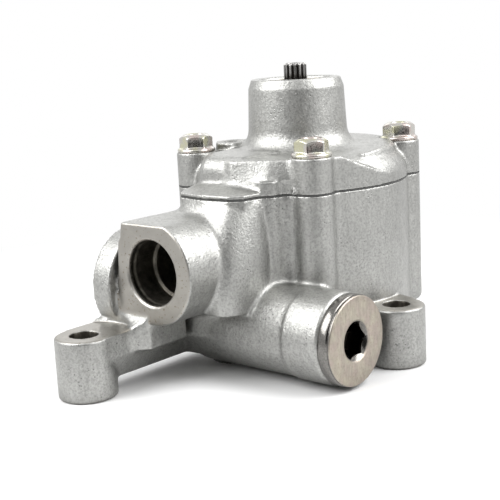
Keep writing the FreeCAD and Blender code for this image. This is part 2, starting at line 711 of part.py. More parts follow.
def rotor():
    """Rotor with its radial slots, rounded slot roots and the splined bore."""
    low = rear_plate_top_z + side_clearance
    height = cam_height - 2 * side_clearance
    body = cylinder(rotor_radius, (0, 0, low), height)
    cuts = [toothed(hub_spline_radius + hub_clearance, hub_spline_teeth, hub_spline_depth, low - 1,
                    height + 2)]
    width = vane_thickness + 2 * vane_clearance
    for i in range(vane_count):
        slot = box((slot_root_radius, rotor_radius + 2), (-width / 2, width / 2), (low - 1, low + height + 1))
        root = cylinder(1.25, (slot_root_radius, 0, low - 1), height + 2)
        cutter = slot.fuse(root)
        cutter.rotate(V(0, 0, 0), Z_AXIS, 360.0 * i / vane_count)
        cuts.append(cutter)
    return without(body, cuts)


def vane(index):
    """Flat vane, its outer end rounded, drawn fully into its slot."""
    low = rear_plate_top_z + side_clearance
    height = cam_height - 2 * side_clearance
    tip = rotor_radius - 0.1
    blade = box((tip - vane_length, tip - 0.4), (-vane_thickness / 2, vane_thickness / 2),
                (low, low + height))
    nose = cylinder(1.6, (tip - 1.6, 0, low), height).common(
        box((tip - 0.6, tip + 1), (-vane_thickness / 2, vane_thickness / 2), (low, low + height)))
    body = blade.fuse(nose).removeSplitter()
    body.rotate(V(0, 0, 0), Z_AXIS, 360.0 * index / vane_count)
    return body


def drive_shaft():
    """Stepped shaft: rear journal, rotor spline, front journal, seal land and the splined drive end."""
    hub_low = rear_plate_top_z - 3.0
    hub_high = cam_top_z + 1.0
    solids = [cylinder(journal_radius, (0, 0, shaft_foot_z), spline_foot_z - shaft_foot_z)]
    solids.append(toothed(hub_spline_radius, hub_spline_teeth, hub_spline_depth, hub_low, hub_high - hub_low))
    solids.append(cone(journal_radius, spline_radius - spline_depth, (0, 0, spline_foot_z), 2.0))
    solids.append(toothed(spline_radius, spline_teeth, spline_depth, spline_foot_z,
                          shaft_tip_z - spline_foot_z))
    shaft = joined(solids)
    groove = tube(12.0, journal_radius - 0.3, (0, 0, rear_plate_top_z - ring_thickness), ring_thickness)
    tip = tube(12.0, spline_radius - 0.8, (0, 0, shaft_tip_z - 0.8), 1.0).cut(
        cone(spline_radius, spline_radius - 0.8, (0, 0, shaft_tip_z - 0.8), 0.8))
    end = tube(12.0, journal_radius - 1.0, (0, 0, shaft_foot_z - 0.1), 1.1).cut(
        cone(journal_radius - 1.0, journal_radius, (0, 0, shaft_foot_z), 1.0))
    return without(shaft, [groove, tip, end])


def rotor_snap_ring():
    low = rear_plate_top_z - ring_thickness
    ring = tube(hub_spline_radius + 0.5, journal_radius - 0.3, (0, 0, low), ring_thickness - 0.05)
    return ring.cut(box((0, 20), (-1.6, 1.6), (low - 1, low + 3)))


def bush(z, length):
    return tube(journal_radius + bush_wall, journal_radius + shaft_clearance, (0, 0, z), length)


def seal_case():
    """Steel case of the shaft seal: outer wall and inward flange."""
    wall = tube(seal_bore_radius, seal_bore_radius - 1.4, (0, 0, seal_floor_z + 1.0), seal_height)
    top = tube(seal_bore_radius - 1.0, 10.4, (0, 0, seal_floor_z + seal_height), 1.0)
    return wall.fuse(top).removeSplitter()


def seal_lip():
    """Rubber sealing element: web below the case flange and the lip that runs on the shaft."""
    root_z = seal_floor_z + seal_height
    inner = seal_bore_radius - 1.4
    tip = journal_radius + shaft_clearance
    profile = [V(inner, 0, root_z), V(inner, 0, root_z - 1.6), V(9.6, 0, root_z - 1.6),
               V(9.4, 0, root_z - 4.6), V(8.2, 0, root_z - 5.6), V(tip, 0, root_z - 4.6),
               V(8.2, 0, root_z - 2.8), V(8.2, 0, root_z)]
    return Part.Face(Part.makePolygon(profile + profile[:1])).revolve(V(0, 0, 0), Z_AXIS, 360)


def garter_spring():
    return round_ring(10.05, 0.5, (0, 0, seal_floor_z + seal_height - 3.9))


def cover_bolts():
    """Four flange bolts, each a separate solid."""
    bolts = []
    for x, y in bolt_places():
        shank = cylinder(bolt_radius, (x, y, seat_z - bolt_length), bolt_length)
        flange = cone(bolt_flange_radius, bolt_flange_radius - 0.9, (x, y, seat_z + 0.5),
                      bolt_flange_height - 0.5)
        rim = cylinder(bolt_flange_radius, (x, y, seat_z), 0.5)
        head = hexagon(bolt_across_flats, (x, y, seat_z), bolt_head_height, Z_AXIS, 30.0 + 8.0)
        crown = cone(9.2, 5.4, (x, y, seat_z + bolt_head_height - 2.4), 2.4)
        below = cylinder(9.2, (x, y, seat_z), bolt_head_height - 2.4)
        head = head.common(crown.fuse(below))
        dish = cone(2.2, 3.8, (x, y, seat_z + bolt_head_height - 1.2), 1.2)
        bolts.append(joined([shank, rim, flange, head]).cut(dish))
    return Part.makeCompound(bolts)


def control_spool():
    """Flow control spool: two lands, a waisted middle and a pocket for the spring."""
    r = spool_radius - spool_clearance
    x = spool_rest_x
    body = cylinder(r, (x, valve_y, valve_z), spool_length, X_AXIS)
    waist = tube(r + 1, r - spool_waist_depth, (x + spool_waist_start, valve_y, valve_z),
                 spool_waist_length, X_AXIS)
    pocket = cylinder(spring_radius + spring_wire_radius + 0.4,
                      (x + spool_length - spring_pocket_depth, valve_y, valve_z),
                      spring_pocket_depth + 1, X_AXIS)
    stop = cylinder(spool_stop_radius, (x - 1.9, valve_y, valve_z), 1.95, X_AXIS)
    cuts = [waist, pocket]
    for i in range(3):
        cuts.append(tube(r + 1, r - 0.4, (x + 19.5 + 3.0 * i, valve_y, valve_z), 0.8, X_AXIS))
    return without(body.fuse(stop), cuts)


def control_spring():
    """Helical spring between the pocket of the spool and the plug."""
    start = spool_rest_x + spool_length - spring_pocket_depth + spring_wire_radius + spring_seat_gap
    length = collar_end_x - plug_shank_length - start - spring_wire_radius - spring_seat_gap
    helix = Part.makeHelix(length / spring_turns, length, spring_radius)
    corners = [V(spring_radius + spring_wire_radius * math.cos(math.radians(60 * i)), 0,
                 spring_wire_radius * math.sin(math.radians(60 * i))) for i in range(7)]
    section = Part.makePolygon(corners)
    coil = Part.Wire(helix.Edges).makePipeShell([section], True, True)
    coil.Placement = FreeCAD.Placement(V(start, valve_y, valve_z), FreeCAD.Rotation(Z_AXIS, X_AXIS))
    return coil


def valve_plug():
    """Screwed plug of the valve bore, with a flange, a turned face and a hexagon socket."""
    inner = collar_end_x - plug_shank_length
    shank = cylinder(plug_thread_radius - 0.02, (inner, valve_y, valve_z), collar_end_x - inner, X_AXIS)
    neck = tube(plug_thread_radius + 1, plug_thread_radius - 1.6, (collar_end_x - 2.6, valve_y, valve_z),
                2.6, X_AXIS)
    flange = cylinder(plug_flange_radius, (collar_end_x, valve_y, valve_z),
                      plug_face_x - 0.7 - collar_end_x, X_AXIS)
    face = cone(plug_flange_radius, plug_face_radius, (plug_face_x - 0.7, valve_y, valve_z), 0.7, X_AXIS)
    socket = hexagon(plug_socket_flats, (plug_face_x - plug_socket_depth, valve_y, valve_z), 20.0, X_AXIS,
                     30.0)
    entry = cone(6.2, 8.2, (plug_face_x - 1.6, valve_y, valve_z), 1.6, X_AXIS)
    return without(joined([shank.cut(neck), flange, face]), [socket, entry])


def plug_seal():
    return round_ring(plug_thread_radius - 0.55, 0.95, (collar_end_x - 1.1, valve_y, valve_z), X_AXIS)


def nodes():
    parts = {
        "housing": housing(),
        "cover": cover(),
        "cover_gasket": cover_gasket(),
        "cover_bolts": cover_bolts(),
        "cam_ring": cam_ring(),
        "front_port_plate": front_plate(),
        "pressure_plate": pressure_plate(),
        "plate_outer_seal": round_ring(cartridge_radius - 0.9, 1.15, (0, 0, chamber_top_z + 5.3)),
        "alignment_dowels": dowels(),
        "rotor": rotor(),
        "drive_shaft": drive_shaft(),
        "rotor_snap_ring": rotor_snap_ring(),
        "rear_bush": bush(rear_bush_z, rear_bush_length),
        "front_bush": bush(front_bush_z, front_bush_length),
        "shaft_seal_case": seal_case(),
        "shaft_seal_lip": seal_lip(),
        "seal_garter_spring": garter_spring(),
        "control_spool": control_spool(),
        "control_spring": control_spring(),
        "valve_plug": valve_plug(),
        "plug_seal": plug_seal(),
    }
    for i in range(vane_count):
        parts["vane_%02d" % (i + 1)] = vane(i)
    return parts


for name, shape in nodes().items():
    shape.exportStep("parts/" + name + ".step")
    print(name, shape.ShapeType, len(shape.Solids), round(shape.Volume), shape.isValid())
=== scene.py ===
"""Looks of an oil pump: die cast housing and cover, flange bolts, splined shaft, screwed valve plug."""

import json
import math

import bpy
import numpy as np
from mathutils import Matrix, Vector


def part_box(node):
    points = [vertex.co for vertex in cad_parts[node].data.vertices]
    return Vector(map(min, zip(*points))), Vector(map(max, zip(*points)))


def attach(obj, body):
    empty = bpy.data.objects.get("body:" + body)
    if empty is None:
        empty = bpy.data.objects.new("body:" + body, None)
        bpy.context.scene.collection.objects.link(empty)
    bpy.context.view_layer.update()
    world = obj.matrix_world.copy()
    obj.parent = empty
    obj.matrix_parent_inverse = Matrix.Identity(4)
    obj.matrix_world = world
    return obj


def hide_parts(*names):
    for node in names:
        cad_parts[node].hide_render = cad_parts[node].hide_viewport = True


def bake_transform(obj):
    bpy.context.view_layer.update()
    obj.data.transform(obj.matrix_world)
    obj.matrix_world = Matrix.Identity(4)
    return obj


bl_info = {
    "name": "Oil Pump Finish",
    "version": (1, 0, 0),
    "blender": (4, 5, 0),
    "location": "3D View > Sidebar > Oil Pump",
    "description": "Dresses the castings, bolts, shaft, plug and cartridge of an oil pump",
    "category": "Object",
}

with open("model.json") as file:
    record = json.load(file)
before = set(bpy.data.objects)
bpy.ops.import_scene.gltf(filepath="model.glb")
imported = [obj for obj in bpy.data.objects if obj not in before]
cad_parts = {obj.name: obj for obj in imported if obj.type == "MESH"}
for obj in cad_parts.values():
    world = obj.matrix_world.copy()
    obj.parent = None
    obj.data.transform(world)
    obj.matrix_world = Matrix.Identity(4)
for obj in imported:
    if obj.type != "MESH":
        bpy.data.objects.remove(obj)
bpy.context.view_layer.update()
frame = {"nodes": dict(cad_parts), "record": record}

MM = 0.001
HALF_STEP = 0.5
mounts = {mount["name"]: mount for mount in frame["record"]["mounts"]}
inlet = Vector(mounts["inlet_port"]["pos_m"]) / MM
outlet = Vector(mounts["outlet_port"]["pos_m"]) / MM
feet = [Vector(mounts[side + "_foot_hole"]["pos_m"]) / MM for side in ("left", "right", "rear")]
bolt_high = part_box("cover_bolts")[1] / MM
cover_low, cover_high = (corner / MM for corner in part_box("cover"))
plug_low, plug_high = (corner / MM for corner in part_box("valve_plug"))
shaft_low, shaft_high = (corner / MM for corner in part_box("drive_shaft"))
rotor_low, rotor_high = (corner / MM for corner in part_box("rotor"))
port_face_y = -85.0
outlet_face_x = -35.0
foot_top = 24.0
seat_z = 84.6
nose_top = cover_high.z
valve_y = (plug_low.y + plug_high.y) / 2
valve_z = (plug_low.z + plug_high.z) / 2
collar_end_x = 53.2
bolt_offset = 30.4

# Radii of the bosses, bores and seats that tools have cut.
inlet_boss_radius = 20.3
inlet_bore_radius = 12.0
inlet_bore_reach = 13.8
outlet_boss_radius = 22.2
outlet_bore_radius = 9.5
collar_radius = 18.0
plug_thread_radius = 13.5
foot_radius = 11.4
foot_hole_radius = 5.5
spot_face_radius = 18.4
nose_mouth_radius = 15.0
nose_radius = 18.5
bolt_seat_radius = 8.1

# Lines along which the casting's corners are widest, each from one place to another.
tube_root = ((-8.0, -50.0, 36.0), (34.0, -41.0, 33.0))
arm_root = ((-13.0, -93.0, 22.0), (-4.0, -68.0, 22.0))
web_root = ((-12.0, -90.0, 10.0), (-4.0, -70.0, 14.0))
dome_crease = ((4.0, -50.0, 72.0), (5.0, -47.0, 81.0))
brow_crease = ((31.0, -36.0, 77.0), (28.0, -36.0, 81.0))
recess_line = ((19.0, -50.0, 74.0), (27.0, -46.0, 74.0))


def linear(hex_colour):
    """Linear RGBA of an sRGB hex colour."""
    parts = [int(hex_colour[i:i + 2], 16) / 255 for i in (1, 3, 5)]
    return [c / 12.92 if c <= 0.04045 else ((c + 0.055) / 1.055) ** 2.4 for c in parts] + [1.0]


class CastingSettings(bpy.types.PropertyGroup):
    """Sizes of the cast surface and the colours of cast and cut aluminium."""

    grain: bpy.props.FloatProperty(
        name="Mesh grain", description="Edge length of the casting's mesh before it is thinned",
        default=0.5 * MM, unit="LENGTH")
    blend_width: bpy.props.FloatProperty(
        name="Blend width", description="Size of the widest fillets in the casting's inside corners",
        default=2.2 * MM, unit="LENGTH")
    sharp_share: bpy.props.FloatProperty(
        name="Sharp share", description="Share of the blending where the casting's corners are tight",
        default=0.28)
    edge_share: bpy.props.FloatProperty(
        name="Edge share", description="Share of the blending that outside edges get", default=0.16)
    face_limit: bpy.props.IntProperty(
        name="Face limit", description="Most triangles that a casting keeps", default=190000)
    cast_colour: bpy.props.FloatVectorProperty(
        name="Cast colour", description="Colour of the cast skin", subtype="COLOR", size=4,
        default=linear("#B2B2AF"))
    cut_colour: bpy.props.FloatVectorProperty(
        name="Cut colour", description="Colour of faces that a tool has cut", subtype="COLOR", size=4,
        default=linear("#A19E98"))


class FastenerSettings(bpy.types.PropertyGroup):
    """Sizes of the four flange bolts."""

    across_flats: bpy.props.FloatProperty(
        name="Across flats", description="Width of the hexagon", default=12.0 * MM, unit="LENGTH")
    head_height: bpy.props.FloatProperty(
        name="Head height", description="Height of the head above its seat",
        default=(bolt_high.z - seat_z - 0.4) * MM, unit="LENGTH")
    flange_radius: bpy.props.FloatProperty(
        name="Flange radius", description="Radius of the washer face", default=7.85 * MM, unit="LENGTH")
    plating: bpy.props.FloatVectorProperty(
        name="Plating", description="Colour of the zinc plating", subtype="COLOR", size=4,
        default=linear("#C0BEB8"))


class StageSettings(bpy.types.PropertyGroup):
    """Size of the floor and strength of the lamps."""

    floor_radius: bpy.props.FloatProperty(
        name="Floor radius", description="Radius of the round floor", default=3.0, unit="LENGTH")
    key_power: bpy.props.FloatProperty(
        name="Key power", description="Power of each soft box beside the object", default=11.0, unit="POWER")
    fill_power: bpy.props.FloatProperty(
        name="Fill power", description="Power of the soft box behind the object", default=1.2, unit="POWER")


def add(tree, kind, settings=None, links=None):
    """Adds one node, sets its fields and inputs, and links its inputs to other nodes' outputs."""
    node = tree.nodes.new(kind)
    for name, value in (settings or {}).items():
        if isinstance(name, int) or name in node.inputs:
            node.inputs[name].default_value = value
        else:
            setattr(node, name, value)
    for name, source in (links or {}).items():
        tree.links.new(source, node.inputs[name])
    return node


def metal(name, colour, roughness):
    """A metal with its shader: returns the material, its tree and the shader node."""
    finish = bpy.data.materials.new(name)
    finish.use_nodes = True
    tree = finish.node_tree
    tree.nodes.clear()
    shader = add(tree, "ShaderNodeBsdfPrincipled",
                 {"Base Color": colour, "Metallic": 1.0, "Roughness": roughness})
    add(tree, "ShaderNodeOutputMaterial", None, {"Surface": shader.outputs[0]})
    return finish, tree, shader


def noise(tree, place, millimetres, detail=3.0, rough=0.55):
    """Noise whose lumps are about so many millimetres wide."""
    return add(tree, "ShaderNodeTexNoise",
               {"Scale": 1.0 / (millimetres * MM), "Detail": detail, "Roughness": rough}, {"Vector": place})


def ramp(tree, source, low, high, start, end):
    """Maps a value between low and high to one between start and end."""
    node = add(tree, "ShaderNodeMapRange",
               {"From Min": low, "From Max": high, "To Min": start, "To Max": end}, {"Value": source})
    return node.outputs[0]


def mixed(tree, factor, first, second):
    """Mixes two colours, each a value or a node's output, by a factor."""
    node = add(tree, "ShaderNodeMix", {"data_type": "RGBA"}, {"Factor": factor})
    for socket, value in ((node.inputs[6], first), (node.inputs[7], second)):
        if hasattr(value, "is_linked"):
            tree.links.new(value, socket)
        else:
            socket.default_value = value
    return node.outputs[2]


def place_of(tree):
    return add(tree, "ShaderNodeTexCoord").outputs["Object"]


def shade(colour, share):
    return [c * share for c in colour[:3]] + [1.0]


def bumped(tree, shader, heights):
    """Stacks bumps, each (height output, depth in millimetres), into the shader's normal."""
    normal = None
    for height, depth in heights:
        links = {"Height": height}
        if normal:
            links["Normal"] = normal
        node = add(tree, "ShaderNodeBump", {"Strength": 1.0, "Distance": depth * MM}, links)
        normal = node.outputs[0]
    tree.links.new(normal, shader.inputs["Normal"])


def die_cast_aluminium(colour):
    """Die cast aluminium, tumbled after casting: a satin skin with fine grain, scattered pits and
    darker clouds where the melt met last, which break its highlights into soft speckle. The pits are
    painted darker as painted shade, and corners that the occlusion test finds sheltered are mixed toward dark
    grey as painted shade."""
    finish, tree, shader = metal("die_cast_aluminium", colour, 0.42)
    place = place_of(tree)
    grain = noise(tree, place, 0.9, 3.0, 0.7)
    coarse = noise(tree, place, 2.6, 4.0, 0.65)
    cloud = noise(tree, place, 14.0, 4.0, 0.6)
    drawn = add(tree, "ShaderNodeMapping", {"Scale": (1.0, 1.0, 0.12)}, {"Vector": place})
    streak = noise(tree, drawn.outputs[0], 1.4, 3.0, 0.6)
    pits = add(tree, "ShaderNodeTexVoronoi", {"Scale": 1.0 / (1.3 * MM)}, {"Vector": place})
    pit_depth = ramp(tree, pits.outputs["Distance"], 0.05, 0.28, 0.0, 1.0)
    rare = ramp(tree, noise(tree, place, 9.0, 2.0).outputs[0], 0.52, 0.66, 0.0, 1.0)
    pit_field = add(tree, "ShaderNodeMath", {"operation": "MULTIPLY"}, {0: rare})
    inverse = add(tree, "ShaderNodeMath", {"operation": "SUBTRACT", 0: 1.0}, {1: pit_depth})
    tree.links.new(inverse.outputs[0], pit_field.inputs[1])
    clouded = mixed(tree, ramp(tree, cloud.outputs[0], 0.35, 0.7, 0.0, 1.0), colour, shade(colour, 0.86))
    streaked = mixed(tree, ramp(tree, streak.outputs[0], 0.4, 0.7, 0.0, 0.5), clouded, shade(colour, 0.74))
    speckled = mixed(tree, ramp(tree, grain.outputs[0], 0.42, 0.66, 0.0, 0.65), streaked, shade(colour, 0.5))
    # Painted shade: where the occlusion test finds the surface sheltered, the colour is mixed toward dark
    # grey.
    shelter = add(tree, "ShaderNodeAmbientOcclusion", {"Distance": 12.0 * MM, "samples": 6})
    painted_corner_shade = ramp(tree, shelter.outputs["AO"], 0.15, 0.7, 0.6, 0.0)
    corner_shaded_colour = mixed(tree, painted_corner_shade, speckled, shade(linear("#8E8C84"), 0.35))
    # Painted shade in the pits: inside the pit field the colour darkens to a quarter.
    pits_shaded = mixed(tree, pit_field.outputs[0], corner_shaded_colour, shade(colour, 0.25))
    tree.links.new(pits_shaded, shader.inputs["Base Color"])
    tree.links.new(ramp(tree, coarse.outputs[0], 0.3, 0.7, 0.34, 0.5), shader.inputs["Roughness"])
    bumped(tree, shader, ((coarse.outputs[0], 0.2), (grain.outputs[0], 0.14), (pit_field.outputs[0], -0.14)))
    return finish


def turned_aluminium(colour):
    """Aluminium faced by a cutter: flatter and a little warmer than the cast skin, with faint cutter marks
    and brown specks where the cut opened pores."""
    finish, tree, shader = metal("cut_aluminium", colour, 0.38)
    place = place_of(tree)
    scratch = noise(tree, place, 0.25, 2.0)
    cloud = noise(tree, place, 6.0, 3.0)
    tinted = mixed(tree, ramp(tree, cloud.outputs[0], 0.35, 0.65, 0.0, 1.0), colour, shade(colour, 0.9))
    speck = noise(tree, place, 1.1, 2.0, 0.6)
    pores = ramp(tree, speck.outputs[0], 0.62, 0.7, 0.0, 0.75)
    spotted = mixed(tree, pores, tinted, shade(linear("#8A7C68"), 0.6))
    tree.links.new(spotted, shader.inputs["Base Color"])
    tree.links.new(ramp(tree, scratch.outputs[0], 0.3, 0.7, 0.32, 0.46), shader.inputs["Roughness"])
    bumped(tree, shader, ((scratch.outputs[0], 0.012),))
    return finish


def shaded_bore(colour):
    """Metal for cored passages and holes, darker than the cast skin as painted shade, with a patchy oil film
    and a dull sheen: near black where no light reaches.
    """
    finish, tree, shader = metal("shaded_bore", colour, 0.45)
    place = place_of(tree)
    film = noise(tree, place, 3.0, 3.0)
    oily = ramp(tree, film.outputs[0], 0.35, 0.65, 0.0, 1.0)
    tree.links.new(mixed(tree, oily, colour, shade(colour, 0.5)), shader.inputs["Base Color"])
    bumped(tree, shader, ((film.outputs[0], 0.05),))
    return finish


def plain_metal(name, colour, roughness, grain_mm, depth_mm):
    """Steel, iron or bronze whose surface shows one grain, in colour, gloss and relief."""
    finish, tree, shader = metal(name, colour, roughness)
    grain = noise(tree, place_of(tree), grain_mm, 3.0)
    dull = ramp(tree, grain.outputs[0], 0.35, 0.65, 0.0, 1.0)
    tree.links.new(mixed(tree, dull, colour, shade(colour, 0.78)), shader.inputs["Base Color"])
    tree.links.new(ramp(tree, grain.outputs[0], 0.3, 0.7, roughness * 0.85, roughness * 1.15),
                   shader.inputs["Roughness"])
    bumped(tree, shader, ((grain.outputs[0], depth_mm),))
    return finish


def splined_steel(bright, dark):
    """Hardened steel with an oxide skin that is left in the grooves and worn bright on the tooth tips."""
    finish, tree, shader = metal("splined_steel", bright, 0.3)
    place = place_of(tree)
    parts = add(tree, "ShaderNodeSeparateXYZ", None, {"Vector": place})
    flat = add(tree, "ShaderNodeCombineXYZ", None, {"X": parts.outputs["X"], "Y": parts.outputs["Y"]})
    reach = add(tree, "ShaderNodeVectorMath", {"operation": "LENGTH"}, {0: flat.outputs[0]}).outputs["Value"]
    worn = ramp(tree, reach, 4.25 * MM, 4.7 * MM, 0.0, 0.75)
    end = ramp(tree, parts.outputs["Z"], (shaft_high.z - 1.3) * MM, (shaft_high.z - 0.4) * MM, 0.0, 1.0)
    both = add(tree, "ShaderNodeMath", {"operation": "MAXIMUM"}, {0: worn, 1: end})
    grain = noise(tree, place, 0.5, 2.0)
    patchy = add(tree, "ShaderNodeMath", {"operation": "MULTIPLY"},
                 {0: both.outputs[0], 1: ramp(tree, grain.outputs[0], 0.3, 0.6, 0.7, 1.0)})
    tree.links.new(mixed(tree, patchy.outputs[0], dark, bright), shader.inputs["Base Color"])
    bumped(tree, shader, ((grain.outputs[0], 0.01),))
    return finish


def turned_face_steel(colour, face_x):
    """Turned steel: a glossy ground rim coloured darker than the face as painted shade, a face with a thin
    brownish film in streaks and freckles, and a socket coloured near black inside as painted shadow.
    """
    finish, tree, shader = metal("turned_face_steel", colour, 0.3)
    place = place_of(tree)
    along = add(tree, "ShaderNodeSeparateXYZ", None, {"Vector": place}).outputs["X"]
    is_face = ramp(tree, along, (face_x - 0.2) * MM, (face_x + 0.2) * MM, 0.0, 1.0)
    drawn = add(tree, "ShaderNodeMapping", {"Scale": (1.0, 1.0, 0.3)}, {"Vector": place})
    streak = noise(tree, drawn.outputs[0], 1.2, 4.0, 0.6)
    freckle = noise(tree, place, 0.6, 3.0, 0.6)
    mottle = noise(tree, place, 5.0, 3.0, 0.6)
    patches = ramp(tree, mottle.outputs[0], 0.4, 0.6, 0.0, 1.0)
    beige = mixed(tree, patches, linear("#AFA899"), linear("#A89C93"))
    film = mixed(tree, ramp(tree, streak.outputs[0], 0.35, 0.65, 0.0, 0.6), beige, linear("#8E8880"))
    spotted = mixed(tree, ramp(tree, freckle.outputs[0], 0.55, 0.75, 0.0, 0.55), film, linear("#6E6257"))
    flecks = ramp(tree, freckle.outputs[0], 0.4, 0.7, 0.0, 1.0)
    # Painted shade: the rim's grey is darker than the face's colours, flecked at random.
    shaded_rim = mixed(tree, flecks, linear("#7C7A77"), linear("#62605D"))
    axis_place = (0.0, valve_y * MM, valve_z * MM)
    centred = add(tree, "ShaderNodeVectorMath", {"operation": "SUBTRACT", 1: axis_place}, {0: place})
    across = add(tree, "ShaderNodeVectorMath", {"operation": "MULTIPLY", 1: (0.0, 1.0, 1.0)},
                 {0: centred.outputs[0]})
    length = add(tree, "ShaderNodeVectorMath", {"operation": "LENGTH"}, {0: across.outputs[0]})
    reach = length.outputs["Value"]
    # Painted shadow: beyond its mouth, the socket's inside is coloured near black.
    socket_shadow = add(tree, "ShaderNodeMath", {"operation": "MULTIPLY"},
               {0: ramp(tree, reach, 6.95 * MM, 7.15 * MM, 1.0, 0.0),
                1: ramp(tree, along, (plug_high.x - 3.0) * MM, (plug_high.x - 1.75) * MM, 1.0, 0.0)})
    outside = mixed(tree, is_face, shaded_rim, spotted)
    tree.links.new(mixed(tree, socket_shadow.outputs[0], outside, linear("#1E1B18")), shader.inputs["Base Color"])
    tree.links.new(ramp(tree, is_face, 0.0, 1.0, 0.17, 0.42), shader.inputs["Roughness"])
    bumped(tree, shader, ((freckle.outputs[0], 0.02), (streak.outputs[0], 0.02)))
    return finish


def tinted_zinc(colour):
    """Zinc plated steel with a clear chromate film: silver that turns yellow green or pink where the
    film is thicker."""
    finish, tree, shader = metal("zinc_plated_steel", colour, 0.24)
    place = place_of(tree)
    film = noise(tree, place, 6.5, 1.5, 0.5)
    grain = noise(tree, place, 0.9, 3.0)
    green = mixed(tree, ramp(tree, film.outputs[0], 0.5, 0.6, 0.0, 0.6), colour, linear("#C6C49C"))
    rose = mixed(tree, ramp(tree, film.outputs[0], 0.47, 0.4, 0.0, 0.6), green, linear("#C4B2AD"))
    tree.links.new(mixed(tree, ramp(tree, grain.outputs[0], 0.45, 0.75, 0.0, 0.3), rose, shade(colour, 0.6)),
                   shader.inputs["Base Color"])
    tree.links.new(ramp(tree, grain.outputs[0], 0.3, 0.7, 0.18, 0.34), shader.inputs["Roughness"])
    bumped(tree, shader, ((grain.outputs[0], 0.02),))
    return finish


def moulded_rubber():
    """Moulded nitrile rubber: black, matt, with a faint flow grain."""
    finish, tree, shader = metal("nitrile_rubber", linear("#17171A"), 0.62)
    shader.inputs["Metallic"].default_value = 0.0
    grain = noise(tree, place_of(tree), 0.8, 2.0)
    black = mixed(tree, grain.outputs[0], linear("#141416"), linear("#202024"))
    tree.links.new(black, shader.inputs["Base Color"])
    bumped(tree, shader, ((grain.outputs[0], 0.02),))
    return finish


def closed_copy(node):
    """The node's mesh as one skin: its loose triangles joined at their shared corners."""
    source = frame["nodes"][node].data.copy()
    piece = bpy.data.objects.new(node + "_casting", source)
    bpy.context.scene.collection.objects.link(piece)
    weld = piece.modifiers.new("weld", "WELD")
    weld.merge_threshold = 0.002 * MM
    return piece


def baked(piece):
    """Turns a piece's live modifiers into its own mesh."""
    graph = bpy.context.evaluated_depsgraph_get()
    mesh = bpy.data.meshes.new_from_object(piece.evaluated_get(graph))
    piece.modifiers.clear()
    piece.data = mesh
    return mesh


def spread(mesh, millimetres):
    """Moves the outer rim of a flat sheet outward, so that it fills the joint up to the castings' edge."""
    for point in mesh.vertices:
        aside = Vector((point.normal.x, point.normal.y, 0.0))
        if aside.length > 0.3 and aside.dot(point.co) > 0 and Vector(point.co[:2]).length > 38.0 * MM:
            point.co += aside.normalized() * millimetres * MM
    mesh.update()


def disc_reach(points, centre, axis, radius):
    """Distance of points from a flat disc, in millimetres."""
    along = points[:, axis] - centre[axis]
    others = [i for i in range(3) if i != axis]
    across = np.hypot(points[:, others[0]] - centre[others[0]], points[:, others[1]] - centre[others[1]])
    return np.hypot(along, np.maximum(across - radius, 0.0))


def wall_reach(points, centre, axis, radius, low, high):
    """Distance of points from the wall of a round bore or boss, in millimetres."""
    along = points[:, axis]
    others = [i for i in range(3) if i != axis]
    across = np.hypot(points[:, others[0]] - centre[others[0]], points[:, others[1]] - centre[others[1]])
    outside = np.maximum(np.maximum(low - along, along - high), 0.0)
    return np.hypot(across - radius, outside)


def normals_of(points, quads):
    """Unit normal at each point of a mesh of four sided faces."""
    diagonal_a = points[quads[:, 2]] - points[quads[:, 0]]
    diagonal_b = points[quads[:, 3]] - points[quads[:, 1]]
    face = np.cross(diagonal_a, diagonal_b)
    summed = np.zeros_like(points)
    for corner in range(4):
        for axis in range(3):
            summed[:, axis] += np.bincount(quads[:, corner], face[:, axis], len(points))
    return summed / np.maximum(np.linalg.norm(summed, axis=1, keepdims=True), 1e-12)


def blended(mesh, kept, passes, edge_share, sharp):
    """Fills inside corners as a casting's fillets do, and breaks outside edges a little.
    kept is the share of blending that each point gets."""
    count = len(mesh.vertices)
    points = np.empty(count * 3)
    mesh.vertices.foreach_get("co", points)
    points = points.reshape(-1, 3) / MM
    edges = np.empty(len(mesh.edges) * 2, np.int32)
    mesh.edges.foreach_get("vertices", edges)
    edges = edges.reshape(-1, 2)
    quads = np.empty(len(mesh.loops), np.int32)
    mesh.loops.foreach_get("vertex_index", quads)
    quads = quads.reshape(-1, 4)
    degree = np.bincount(edges.ravel(), minlength=count)[:, None]
    share = kept(points, sharp)[:, None]
    first_passes = 6
    normal = None
    for turn in range(passes + first_passes):
        pull = np.empty_like(points)
        for axis in range(3):
            total = np.bincount(edges[:, 0], points[edges[:, 1], axis], count)
            total += np.bincount(edges[:, 1], points[edges[:, 0], axis], count)
            pull[:, axis] = total
        pull = pull / degree - points
        if turn < first_passes:
            step = HALF_STEP if turn % 2 == 0 else -0.53
            points += pull * step * np.maximum(share, 0.4)
            continue
        if turn % 5 == 0 or normal is None:
            normal = normals_of(points, quads)
        outward = (pull * normal).sum(axis=1, keepdims=True) > 0
        points += pull * HALF_STEP * share * np.where(outward, 1.0, edge_share)
    mesh.vertices.foreach_set("co", (points * MM).astype(np.float32).ravel())
    mesh.update()


def held_in(mesh, box):
    """Moves points that lie a hair outside a box onto its faces."""
    points = np.empty(len(mesh.vertices) * 3)
    mesh.vertices.foreach_get("co", points)
    points = np.clip(points.reshape(-1, 3), np.array(box[0]), np.array(box[1]))
    mesh.vertices.foreach_set("co", points.astype(np.float32).ravel())
    mesh.update()


